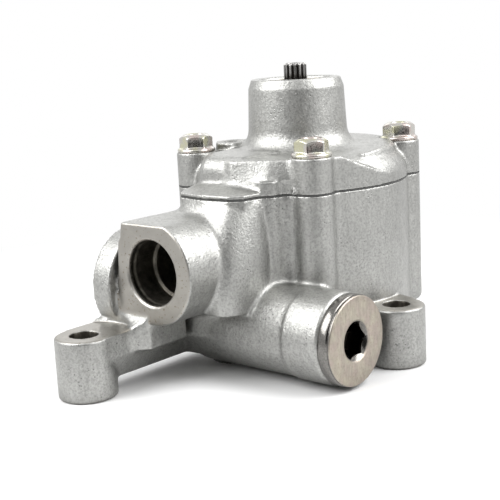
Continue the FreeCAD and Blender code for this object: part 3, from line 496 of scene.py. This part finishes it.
def cast_piece(node, settings, kept, finishes, finish_of):
    """A casting made from a node: one skin of even grain, blended, thinned and given its finishes."""
    piece = closed_copy(node)
    grain = piece.modifiers.new("grain", "REMESH")
    grain.mode = "VOXEL"
    grain.voxel_size = settings.grain * 1.0
    passes = round(2 / HALF_STEP * (settings.blend_width / grain.voxel_size) ** 2)
    baked(piece)
    blended(piece.data, kept, passes, settings.edge_share, settings.sharp_share)
    triangles = 2 * len(piece.data.polygons)
    if triangles > settings.face_limit:
        thin = piece.modifiers.new("thin", "DECIMATE")
        thin.ratio = settings.face_limit / triangles
        baked(piece)
    mesh = piece.data
    held_in(mesh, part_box(node))
    mesh.materials.clear()
    for finish in finishes:
        mesh.materials.append(finish)
    mesh.shade_smooth()
    centres = np.empty(len(mesh.polygons) * 3)
    mesh.polygons.foreach_get("center", centres)
    facing = np.empty(len(mesh.polygons) * 3)
    mesh.polygons.foreach_get("normal", facing)
    index = finish_of(centres.reshape(-1, 3) / MM, facing.reshape(-1, 3))
    mesh.polygons.foreach_set("material_index", index.astype(np.int32))
    mesh.update()
    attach(piece, "pump_body")
    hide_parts(node)


def line_reach(points, start, end):
    """Distance of points from a straight line between two places, in millimetres."""
    first = np.array(start)
    run = np.array(end) - first
    share = np.clip((points - first) @ run / (run @ run), 0.0, 1.0)
    return np.linalg.norm(points - first - share[:, None] * run, axis=1)


def away(distance, clear=0.6, full=2.6):
    """Share from 0 at a cut surface to 1 well away from it."""
    return np.clip((distance - clear) / (full - clear), 0.0, 1.0)


def close(distance, full, none):
    """Share from 1 up to one distance to 0 beyond another."""
    return np.clip((none - distance) / (none - full), 0.0, 1.0)


def housing_share(points, sharp):
    """Share of blending on the housing: none on its cut faces and bores, most where the tube and the
    inlet boss leave the drum."""
    valve_centre = (0.0, valve_y, valve_z)
    root = close(line_reach(points, *tube_root), 5.0, 10.0)
    root = np.maximum(root, close(wall_reach(points, inlet, 1, inlet_boss_radius, -64.0, -50.0), 2.5, 6.0))
    root = np.maximum(root, close(line_reach(points, *arm_root), 6.5, 11.0))
    root = np.maximum(root, close(line_reach(points, *web_root), 5.0, 9.0))
    distances = [
        disc_reach(points, (inlet.x, port_face_y, inlet.z), 1, inlet_boss_radius),
        wall_reach(points, inlet, 1, inlet_bore_radius, port_face_y, -66.0),
        disc_reach(points, (outlet_face_x, outlet.y, outlet.z), 0, outlet_boss_radius),
        wall_reach(points, outlet, 0, outlet_bore_radius, outlet_face_x, -24.0),
        disc_reach(points, (collar_end_x, valve_y, valve_z), 0, collar_radius),
        wall_reach(points, valve_centre, 0, plug_thread_radius, 43.0, collar_end_x),
        np.abs(points[:, 2] - cover_low.z),
        np.abs(points[:, 2] - 0.0),
    ]
    for foot in feet:
        distances.append(disc_reach(points, (foot.x, foot.y, foot_top), 2, foot_radius))
        distances.append(wall_reach(points, foot, 2, foot_hole_radius, 0.0, foot_top))
    spot = disc_reach(points, (feet[0].x, feet[0].y, foot_top), 2, spot_face_radius)
    over_arm = (points[:, 0] < -18.0) | (points[:, 1] < -95.0)
    distances.append(np.where(over_arm, spot, 9.0))
    return (sharp + (1.0 - sharp) * root) * away(np.min(distances, axis=0))


def housing_finish(centres, facing):
    """Finish of each face of the housing: 0 cast, 1 cut, 2 inside a bore or foot hole, in the darker bore
    metal that is painted shade.
    """
    index = np.zeros(len(centres), int)
    x, y, z = centres.T
    near = 0.35
    square_on = 0.8
    to_inlet = np.hypot(x - inlet.x, z - inlet.z)
    cut = (np.abs(y - port_face_y) < near) & (facing[:, 1] < -square_on) & (to_inlet < 26.0)
    cut |= (np.abs(x - outlet_face_x) < near) & (facing[:, 0] < -square_on)
    cut |= (np.abs(x - collar_end_x) < near) & (facing[:, 0] > square_on)
    cut |= (np.abs(z - foot_top) < near) & (facing[:, 2] > square_on)
    cut |= (z < near) & (facing[:, 2] < -square_on)
    cut |= (to_inlet < inlet_bore_reach) & (y > port_face_y + 0.3) & (y < port_face_y + 2.0)
    index[cut] = 1
    bore = (to_inlet < inlet_bore_reach) & (y > port_face_y + 1.6) & (y < -36.0)
    for foot in feet:
        to_foot = np.hypot(x - foot.x, y - foot.y)
        bore |= (to_foot < foot_hole_radius + 0.4) & (z < foot_top - near)
    index[bore] = 2
    return index


def cover_share(points, sharp):
    """Share of blending on the cover: none at its joint face, bolt seats and the mouth of the nose, most
    in the creases beside the brow."""
    distances = [np.abs(points[:, 2] - cover_low.z)]
    distances.append(wall_reach(points, (0, 0, 0), 2, nose_mouth_radius, nose_top - 4.0, nose_top + 1.0))
    distances.append(disc_reach(points, (0, 0, nose_top), 2, nose_radius))
    for side_x in (-1, 1):
        for side_y in (-1, 1):
            seat = (side_x * bolt_offset, side_y * bolt_offset, seat_z)
            distances.append(disc_reach(points, seat, 2, bolt_seat_radius))
            distances.append(wall_reach(points, seat, 2, bolt_seat_radius, seat_z, seat_z + 6.0))
    crisp = disc_reach(points, (0, 0, nose_top), 2, 20.0)
    recess = line_reach(points, *recess_line)
    share = sharp * (0.15 + 0.85 * np.clip((np.minimum(crisp - 3.0, recess - 5.0)) / 3.0, 0.0, 1.0))
    creases = np.minimum(line_reach(points, *dome_crease), line_reach(points, *brow_crease))
    share = np.maximum(share, close(creases, 3.0, 6.5))
    return share * away(np.min(distances, axis=0), 0.5, 1.8)


def cover_finish(centres, facing):
    """Finish of each face of the cover: 0 cast, 1 cut, 2 the hollow of the nose, in the darker bore metal
    that is painted shade.
    """
    index = np.zeros(len(centres), int)
    to_bolt = np.hypot(np.abs(centres[:, 0]) - bolt_offset, np.abs(centres[:, 1]) - bolt_offset)
    index[(np.abs(centres[:, 2] - seat_z) < 0.3) & (facing[:, 2] > 0.8) & (to_bolt < 8.6)] = 1
    index[(centres[:, 2] < cover_low.z + 0.3) & (facing[:, 2] < -0.8)] = 1
    from_axis = np.hypot(centres[:, 0], centres[:, 1])
    index[(from_axis < 14.6) & (centres[:, 2] < nose_top - 1.0)] = 2
    return index


def turned_mesh(name, rings, steps):
    """Closed mesh of rings about Z. A ring is (radius, height), or a function that gives both for an angle.
    The first and last rings have no radius and become single points."""
    points = []
    for ring in rings:
        for step in range(steps):
            angle = 2 * math.pi * step / steps
            radius, height = ring(angle) if callable(ring) else ring
            points.append((radius * math.cos(angle), radius * math.sin(angle), height))
    faces = []
    for level in range(len(rings) - 1):
        for step in range(steps):
            a = level * steps + step
            b = level * steps + (step + 1) % steps
            faces.append((a, b, b + steps, a + steps))
    mesh = bpy.data.meshes.new(name)
    mesh.from_pydata(points, [], faces)
    piece = bpy.data.objects.new(name, mesh)
    bpy.context.scene.collection.objects.link(piece)
    weld = piece.modifiers.new("weld", "WELD")
    weld.merge_threshold = 1e-7
    baked(piece)
    piece.data.shade_smooth()
    return piece


def hexagon_radius(across_flats, angle, turn=0.0):
    """Reach of a hexagon at an angle, with a corner at the turn."""
    sector = (angle - turn) % (math.pi / 3) - math.pi / 6
    return across_flats / 2 / math.cos(sector)


def fitted(piece, rotation, centre):
    """Puts a piece in its place in the frame, inside its mesh."""
    piece.data.transform(Matrix.Translation(Vector(centre)) @ rotation)
    piece.data.update()
    return piece


def bolt_rings(settings):
    """Rings of a flange bolt, from the dish of its head down to the end of its thread."""
    flats = settings.across_flats
    top = settings.head_height
    flange = settings.flange_radius
    slope = math.tan(math.radians(38))
    crown = 0.41 * flats

    def wall(height_share, inset=0.0):
        def at(angle):
            reach = hexagon_radius(flats, angle) - inset
            high = top - (reach - crown) * slope
            return reach, 1.9 * MM + (high - 1.9 * MM) * height_share
        return at

    shank = 4.0 * MM
    length = 35.0 * MM
    return [
        (0.0, top - 1.5 * MM), (2.2 * MM, top - 1.5 * MM), (2.6 * MM, top - 1.3 * MM),
        (3.5 * MM, top - 0.3 * MM), (3.7 * MM, top - 0.04 * MM), (crown - 0.3 * MM, top),
        (crown, top - 0.12 * MM),
        wall(1.0, 0.12 * MM), wall(0.98), wall(0.94), wall(0.1), wall(0.0, -0.15 * MM),
        (flange - 0.85 * MM, 1.62 * MM), (flange - 0.3 * MM, 1.35 * MM), (flange, 1.0 * MM),
        (flange, 0.3 * MM), (flange - 0.2 * MM, 0.05 * MM), (flange - 0.5 * MM, 0.0),
        (shank, 0.0), (shank, -length + 0.8 * MM), (shank - 0.8 * MM, -length), (0.0, -length),
    ]


def plug_rings():
    """Rings of the plug along its axis, measured from the collar's face: thread, flange, turned rim,
    face and socket."""
    reach = (plug_high.x - collar_end_x) * MM
    start = (plug_low.x - collar_end_x) * MM
    rim = 17.5 * MM
    thread = 13.4 * MM
    mouth = 8.2 * MM
    socket_turn = math.radians(5.0)

    def entry(depth, inset=0.0):
        def at(angle):
            wide = hexagon_radius(12.0 * MM, angle, socket_turn) - inset
            return wide, reach - depth - (mouth - wide) * 0.75
        return at

    def socket(depth):
        return lambda angle: (hexagon_radius(12.0 * MM, angle, socket_turn), reach - depth)

    profile = [(0.0, start), (thread - 0.8 * MM, start), (thread, start + 0.8 * MM), (thread, -2.6 * MM),
               (11.9 * MM, -2.4 * MM), (11.9 * MM, 0.0), (rim - 0.35 * MM, 0.0), (rim - 0.1 * MM, 0.1 * MM),
               (rim, 0.35 * MM), (rim, reach - 1.75 * MM), (rim - 0.15 * MM, reach - 1.55 * MM),
               (rim - 0.5 * MM, reach - 1.4 * MM), (rim - 0.5 * MM, reach - 1.15 * MM),
               (rim - 0.3 * MM, reach - 0.95 * MM), (rim - 0.35 * MM, reach - 0.45 * MM),
               (rim - 0.6 * MM, reach - 0.12 * MM), (rim - 0.95 * MM, reach),
               (mouth + 0.25 * MM, reach), (mouth, reach - 0.08 * MM)]
    return profile + [entry(0.05 * MM), entry(0.25 * MM, 0.04 * MM), socket(3.0 * MM), socket(8.6 * MM),
                      (5.0 * MM, reach - 9.0 * MM), (0.0, reach - 9.6 * MM)]


def spline_rings(radius, teeth, depth, low, high, chamfer):
    """Rings of a splined length, its teeth flat topped with sloping flanks and rounded ends."""
    step = 2 * math.pi / teeth

    def at(height, trim=0.0):
        def ring(angle):
            part = abs((angle / step + 0.5) % 1.0 - 0.5)
            lift = min(max((0.30 - part) / 0.11, 0.0), 1.0)
            lift = lift * lift * (3 - 2 * lift)
            return (radius - depth + max(depth * lift - trim, -0.12 * MM if trim > depth else 0.0), height)
        return ring

    rings = [at(low), at(high - chamfer)]
    for share in (0.25, 0.5, 0.75, 1.0):
        rings.append(at(high - chamfer + chamfer * share, depth * 1.3 * share * share))
    return rings


def shaft_rings():
    """Rings of the drive shaft from its rear end up to the splined tip."""
    low = shaft_low.z * MM
    tip = shaft_high.z * MM
    journal = 7.0 * MM
    hub_low = (rotor_low.z - 3.0) * MM
    hub_high = (rotor_high.z + 1.0) * MM
    spline_low = (nose_top - 11.3) * MM
    rings = [(0.0, low), (journal - 1.0 * MM, low), (journal, low + 1.0 * MM), (journal, hub_low)]
    rings += spline_rings(7.9 * MM, 16, 0.9 * MM, hub_low, hub_high, 0.5 * MM)
    rings += [(journal, hub_high), (journal, spline_low), (4.2 * MM, spline_low + 2.0 * MM)]
    rings += spline_rings(4.8 * MM, 14, 0.75 * MM, spline_low + 2.1 * MM, tip - 0.1 * MM, 0.9 * MM)
    return rings + [(3.4 * MM, tip), (1.4 * MM, tip), (1.2 * MM, tip - 0.5 * MM), (0.0, tip - 1.1 * MM)]


def repeated(template, places, turns, finish, name):
    """Copies a template to each place with its own turn, by Geometry Nodes, as one plain mesh."""
    carrier_mesh = bpy.data.meshes.new(name + "_places")
    carrier_mesh.from_pydata(places, [], [])
    turn_data = carrier_mesh.attributes.new("turn", "FLOAT", "POINT")
    turn_data.data.foreach_set("value", turns)
    carrier = bpy.data.objects.new(name, carrier_mesh)
    bpy.context.scene.collection.objects.link(carrier)
    tree = bpy.data.node_groups.new(name + "_tree", "GeometryNodeTree")
    tree.interface.new_socket("Places", in_out="INPUT", socket_type="NodeSocketGeometry")
    scale = tree.interface.new_socket("Size", in_out="INPUT", socket_type="NodeSocketFloat")
    tree.interface.new_socket("Geometry", in_out="OUTPUT", socket_type="NodeSocketGeometry")
    start = add(tree, "NodeGroupInput")
    shape = add(tree, "GeometryNodeObjectInfo", {"Object": template})
    turn = add(tree, "GeometryNodeInputNamedAttribute", {"data_type": "FLOAT", "Name": "turn"})
    spin = add(tree, "ShaderNodeCombineXYZ", None, {"Z": turn.outputs["Attribute"]})
    copies = add(tree, "GeometryNodeInstanceOnPoints", None,
                 {"Points": start.outputs["Places"], "Instance": shape.outputs["Geometry"],
                  "Rotation": spin.outputs[0], "Scale": start.outputs["Size"]})
    solid = add(tree, "GeometryNodeRealizeInstances", None, {"Geometry": copies.outputs[0]})
    coated = add(tree, "GeometryNodeSetMaterial", {"Material": finish}, {"Geometry": solid.outputs[0]})
    add(tree, "NodeGroupOutput", None, {"Geometry": coated.outputs[0]})
    modifier = carrier.modifiers.new("copies", "NODES")
    modifier.node_group = tree
    modifier[scale.identifier] = 1.0
    baked(carrier)
    bpy.data.objects.remove(template)
    return carrier


class HousingCasting(bpy.types.Operator):
    """Makes the die cast housing with its blended corners and cut faces"""

    bl_idname = "pump.housing_casting"
    bl_label = "Housing Casting"

    def execute(self, context):
        settings = context.scene.pump_casting
        # The third finish is the darker bore metal for bores and holes: painted shade.
        finishes = [die_cast_aluminium(settings.cast_colour), turned_aluminium(settings.cut_colour),
                    shaded_bore(linear("#77736B"))]
        cast_piece("housing", settings, housing_share, finishes, housing_finish)
        return {"FINISHED"}


class CoverCasting(bpy.types.Operator):
    """Makes the die cast cover with its nose, dome and lip"""

    bl_idname = "pump.cover_casting"
    bl_label = "Cover Casting"

    def execute(self, context):
        settings = context.scene.pump_casting
        names = ("die_cast_aluminium", "cut_aluminium", "shaded_bore")
        finishes = [bpy.data.materials[name] for name in names]
        cast_piece("cover", settings, cover_share, finishes, cover_finish)
        return {"FINISHED"}


class CoverBolts(bpy.types.Operator):
    """Makes the four flange bolts, each turned as it was left when it was tightened"""

    bl_idname = "pump.cover_bolts"
    bl_label = "Cover Bolts"

    def execute(self, context):
        settings = context.scene.pump_fasteners
        template = turned_mesh("bolt", bolt_rings(settings), 96)
        seats = [(x * bolt_offset * MM, y * bolt_offset * MM, seat_z * MM)
                 for x, y in ((-1, -1), (1, -1), (1, 1), (-1, 1))]
        turns = [math.radians(angle) for angle in (41.5, 52.5, 46.5, 20.0)]
        finish = tinted_zinc(settings.plating)
        bolts = repeated(template, seats, turns, finish, "flange_bolts")
        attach(bolts, "pump_body")
        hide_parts("cover_bolts")
        return {"FINISHED"}


class ShaftAndCartridge(bpy.types.Operator):
    """Gives the shaft, the rotor, the vanes and what is round them their finishes"""

    bl_idname = "pump.shaft_and_cartridge"
    bl_label = "Shaft and Cartridge"

    def execute(self, context):
        ground = plain_metal("ground_steel", linear("#A9ABAD"), 0.22, 0.3, 0.004)
        dark = splined_steel(linear("#A7A6A4"), linear("#2A2725"))
        iron = plain_metal("sintered_iron", linear("#6E6E70"), 0.5, 0.25, 0.02)
        bronze = plain_metal("turned_bronze", linear("#B08A55"), 0.35, 0.4, 0.008)
        wire = plain_metal("spring_wire", linear("#6B6C70"), 0.3, 0.4, 0.006)
        rubber = moulded_rubber()
        dressed = {
            "rotor_snap_ring": wire, "rotor": iron, "front_port_plate": iron,
            "pressure_plate": bpy.data.materials["cut_aluminium"], "cam_ring": ground,
            "alignment_dowels": ground, "control_spool": ground, "control_spring": wire,
            "rear_bush": bronze, "front_bush": bronze, "seal_garter_spring": wire,
            "shaft_seal_case": rubber, "shaft_seal_lip": rubber, "plate_outer_seal": rubber,
            "plug_seal": rubber,
        }
        for name in frame["nodes"]:
            if name.startswith("vane_"):
                dressed[name] = ground
        for name, finish in dressed.items():
            mesh = frame["nodes"][name].data
            mesh.materials.clear()
            mesh.materials.append(finish)
        coil = closed_copy("control_spring")
        baked(coil)
        coil.data.materials.clear()
        coil.data.materials.append(wire)
        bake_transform(coil)
        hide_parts("control_spring")
        shaft = turned_mesh("splined_shaft", shaft_rings(), 14 * 16)
        shaft.data.materials.append(dark)
        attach(shaft, "rotating_group")
        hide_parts("drive_shaft")
        return {"FINISHED"}


class ValvePlug(bpy.types.Operator):
    """Makes the screwed plug and gives the joint gasket its finish"""

    bl_idname = "pump.valve_plug"
    bl_label = "Valve Plug and Gasket"

    def execute(self, context):
        plug = turned_mesh("screwed_plug", plug_rings(), 192)
        lying = Matrix(((0, 0, 1), (1, 0, 0), (0, 1, 0))).to_4x4()
        fitted(plug, lying, Vector((collar_end_x, valve_y, valve_z)) * MM)
        mesh = plug.data
        mesh.materials.append(turned_face_steel(linear("#9C948B"), collar_end_x + 4.8))
        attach(plug, "pump_body")
        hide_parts("valve_plug")
        fibre = plain_metal("gasket_fibre", linear("#4A4A49"), 0.7, 0.3, 0.02)
        fibre.node_tree.nodes["Principled BSDF"].inputs["Metallic"].default_value = 0.0
        sheet = closed_copy("cover_gasket")
        baked(sheet)
        spread(sheet.data, 0.28)
        sheet.data.materials.clear()
        sheet.data.materials.append(fibre)
        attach(sheet, "pump_body")
        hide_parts("cover_gasket")
        return {"FINISHED"}


def soft_box(name, place, target, size, power):
    """Large square lamp that faces a point."""
    lamp = bpy.data.lights.new(name, "AREA")
    lamp.shape = "RECTANGLE"
    lamp.size, lamp.size_y = size
    lamp.energy = power
    box = bpy.data.objects.new(name, lamp)
    bpy.context.scene.collection.objects.link(box)
    box.location = place
    box.rotation_euler = (Vector(target) - Vector(place)).to_track_quat("-Z", "Y").to_euler()


def dark_card(place, target, size):
    """Matt grey card behind the camera, the unlit side of the studio: polished and satin metal that
    faces the camera mirrors it and turns darker. The camera itself never sees it."""
    finish = bpy.data.materials.new("grey_card")
    finish.use_nodes = True
    tree = finish.node_tree
    tree.nodes.clear()
    felt = add(tree, "ShaderNodeBsdfDiffuse", {"Color": linear("#2C2C2C")})
    add(tree, "ShaderNodeOutputMaterial", None, {"Surface": felt.outputs[0]})
    wide, high = size
    corners = [(x * wide / 2, y * high / 2, 0.0) for x, y in ((-1, -1), (1, -1), (1, 1), (-1, 1))]
    mesh = bpy.data.meshes.new("card")
    mesh.from_pydata(corners, [], [(0, 1, 2, 3)])
    mesh.materials.append(finish)
    card = bpy.data.objects.new("card", mesh)
    bpy.context.scene.collection.objects.link(card)
    card.location = place
    card.rotation_euler = (Vector(target) - Vector(place)).to_track_quat("Z", "Y").to_euler()
    card.visible_camera = False


def seen_rays(tree):
    """Share that is 1 for rays that show a surface or the background, straight, mirrored or through glass."""
    path = add(tree, "ShaderNodeLightPath")
    first = add(tree, "ShaderNodeMath", {"operation": "MAXIMUM"},
                {0: path.outputs["Is Camera Ray"], 1: path.outputs["Is Glossy Ray"]})
    return add(tree, "ShaderNodeMath", {"operation": "MAXIMUM"},
               {0: first.outputs[0], 1: path.outputs["Is Transmission Ray"]}).outputs[0]


def studio_world():
    """White surroundings for the camera and for reflections, and soft grey light for the rest."""
    world = bpy.data.worlds.new("studio")
    bpy.context.scene.world = world
    world.use_nodes = True
    tree = world.node_tree
    tree.nodes.clear()
    soft = add(tree, "ShaderNodeBackground", {"Color": linear("#FFFFFF"), "Strength": 0.5})
    white = add(tree, "ShaderNodeBackground", {"Color": linear("#FFFFFF"), "Strength": 1.0})
    both = add(tree, "ShaderNodeMixShader", None,
               {0: seen_rays(tree), 1: soft.outputs[0], 2: white.outputs[0]})
    add(tree, "ShaderNodeOutputWorld", None, {"Surface": both.outputs[0]})


def pale_floor(radius):
    """Round white floor that keeps the shadow of the object and turns to the white of the background
    further out."""
    finish = bpy.data.materials.new("white_floor")
    finish.use_nodes = True
    tree = finish.node_tree
    tree.nodes.clear()
    paint = add(tree, "ShaderNodeBsdfDiffuse", {"Color": linear("#EDEDED")})
    white = add(tree, "ShaderNodeEmission", {"Color": linear("#FFFFFF"), "Strength": 1.0})
    reach = add(tree, "ShaderNodeVectorMath", {"operation": "LENGTH"}, {0: place_of(tree)}).outputs["Value"]
    far = ramp(tree, reach, 0.13, 0.3, 0.0, 1.0)
    shown = add(tree, "ShaderNodeMixShader", None, {0: far, 1: paint.outputs[0], 2: white.outputs[0]})
    seen = add(tree, "ShaderNodeMixShader", None,
               {0: seen_rays(tree), 1: paint.outputs[0], 2: shown.outputs[0]})
    add(tree, "ShaderNodeOutputMaterial", None, {"Surface": seen.outputs[0]})
    count = 64
    rim = [(radius * math.cos(2 * math.pi * i / count), radius * math.sin(2 * math.pi * i / count), 0.0)
           for i in range(count)]
    mesh = bpy.data.meshes.new("floor")
    mesh.from_pydata(rim, [], [tuple(range(count))])
    mesh.materials.append(finish)
    floor = bpy.data.objects.new("floor", mesh)
    bpy.context.scene.collection.objects.link(floor)


def photo_camera():
    """Camera at the photograph's place, with its small roll."""
    lens_mm = 78.64
    azimuth = math.radians(41.281)
    elevation = math.radians(11.563)
    roll = math.radians(-3.033)
    back = Vector((math.sin(azimuth) * math.cos(elevation), -math.cos(azimuth) * math.cos(elevation),
                   math.sin(elevation)))
    level = Vector((math.cos(azimuth), math.sin(azimuth), 0.0))
    upright = back.cross(level)
    right = level * math.cos(roll) + upright * math.sin(roll)
    up = back.cross(right)
    data = bpy.data.cameras.new("camera")
    data.lens = lens_mm
    data.sensor_width = 36.0
    data.clip_start = 0.01
    data.clip_end = 20.0
    camera = bpy.data.objects.new("camera", data)
    bpy.context.scene.collection.objects.link(camera)
    camera.matrix_world = Matrix.Translation((0.28641, -0.36066, 0.13469)) @ Matrix(
        (right, up, back)).transposed().to_4x4()
    bpy.context.scene.camera = camera


class Stage(bpy.types.Operator):
    """Makes the floor, the soft boxes, the surroundings and the camera"""

    bl_idname = "pump.stage"
    bl_label = "Stage"

    def execute(self, context):
        settings = context.scene.pump_stage
        middle = (0.0, -0.03, 0.05)
        pale_floor(settings.floor_radius)
        soft_box("left_soft_box", (-0.39, -0.62, 0.69), middle, (0.8, 0.7), settings.key_power)
        soft_box("right_soft_box", (0.6, 0.34, 0.69), middle, (0.8, 0.7), settings.key_power)
        soft_box("back_soft_box", (-0.55, 0.62, 0.55), middle, (0.9, 0.4), settings.fill_power)
        dark_card((0.66, -0.78, 0.16), middle, (1.25, 0.85))
        studio_world()
        photo_camera()
        context.scene.view_settings.view_transform = "Standard"
        return {"FINISHED"}


steps = (Stage, HousingCasting, CoverCasting, CoverBolts, ShaftAndCartridge, ValvePlug)


class PumpPanel(bpy.types.Panel):
    """Lists the steps that dress the pump"""

    bl_idname = "VIEW3D_PT_pump_finish"
    bl_label = "Oil Pump"
    bl_space_type = "VIEW_3D"
    bl_region_type = "UI"
    bl_category = "Oil Pump"

    def draw(self, context):
        for step in steps:
            self.layout.operator(step.bl_idname)


classes = (CastingSettings, FastenerSettings, StageSettings) + steps + (PumpPanel,)


def register():
    for entry in classes:
        bpy.utils.register_class(entry)
    bpy.types.Scene.pump_casting = bpy.props.PointerProperty(type=CastingSettings)
    bpy.types.Scene.pump_fasteners = bpy.props.PointerProperty(type=FastenerSettings)
    bpy.types.Scene.pump_stage = bpy.props.PointerProperty(type=StageSettings)


def unregister():
    del bpy.types.Scene.pump_stage
    del bpy.types.Scene.pump_fasteners
    del bpy.types.Scene.pump_casting
    for entry in reversed(classes):
        bpy.utils.unregister_class(entry)


def main():
    register()
    bpy.ops.pump.stage()
    bpy.ops.pump.housing_casting()
    bpy.ops.pump.cover_casting()
    bpy.ops.pump.cover_bolts()
    bpy.ops.pump.shaft_and_cartridge()
    bpy.ops.pump.valve_plug()


if __name__ == "__main__":
    main()
